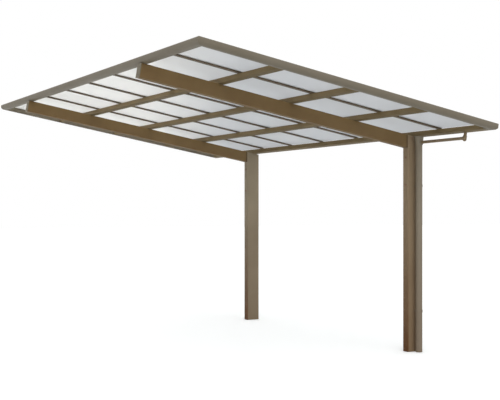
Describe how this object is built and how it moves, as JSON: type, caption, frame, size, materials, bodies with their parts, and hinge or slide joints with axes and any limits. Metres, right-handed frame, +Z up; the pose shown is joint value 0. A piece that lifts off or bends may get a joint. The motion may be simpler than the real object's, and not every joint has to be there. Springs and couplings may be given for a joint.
{
  "type": "cantilever carport",
  "caption": "Single cantilever carport: posts along one side carry sloping arms and a flat roof of opal sheets in a bronze aluminium frame, with a rear gutter and downpipe.",
  "frame": {"origin": "middle of the near post's foot, on the ground", "axes": "+X along the arms towards the post side, +Y along the length from the near post to the far post, +Z up"},
  "size_m": [2.6936, 4.954, 2.4105],
  "materials": {
    "bronze_aluminium": "satin powder coat",
    "bar_aluminium": "satin powder coat",
    "opal_sheet": "opal translucent",
    "drain_pipe": "satin"
  },
  "bodies": {
    "root": {"near_post": "bronze_aluminium", "far_post": "bronze_aluminium", "near_post_cap": "bronze_aluminium", "far_post_cap": "bronze_aluminium", "near_arm": "bronze_aluminium", "far_arm": "bronze_aluminium", "near_arm_plate": "bronze_aluminium", "far_arm_plate": "bronze_aluminium", "purlin_1": "bronze_aluminium", "purlin_2": "bronze_aluminium", "purlin_3": "bronze_aluminium", "free_edge_frame": "bronze_aluminium", "near_end_frame": "bronze_aluminium", "far_end_frame": "bronze_aluminium", "rear_gutter": "bronze_aluminium", "near_free_corner": "bronze_aluminium", "far_free_corner": "bronze_aluminium", "near_rear_corner": "bronze_aluminium", "far_rear_corner": "bronze_aluminium", "bar_1": "bar_aluminium", "bar_2": "bar_aluminium", "bar_3": "bar_aluminium", "bar_4": "bar_aluminium", "bar_5": "bar_aluminium", "bar_6": "bar_aluminium", "bar_7": "bar_aluminium", "sheet_1": "opal_sheet", "sheet_2": "opal_sheet", "sheet_3": "opal_sheet", "sheet_4": "opal_sheet", "sheet_5": "opal_sheet", "sheet_6": "opal_sheet", "sheet_7": "opal_sheet", "sheet_8": "opal_sheet", "gutter_outlet": "drain_pipe", "outlet_elbow": "drain_pipe", "cross_pipe": "drain_pipe", "downpipe_elbow": "drain_pipe", "downpipe": "drain_pipe", "low_clip": "drain_pipe", "high_clip": "drain_pipe"}
  },
  "joints": []
}
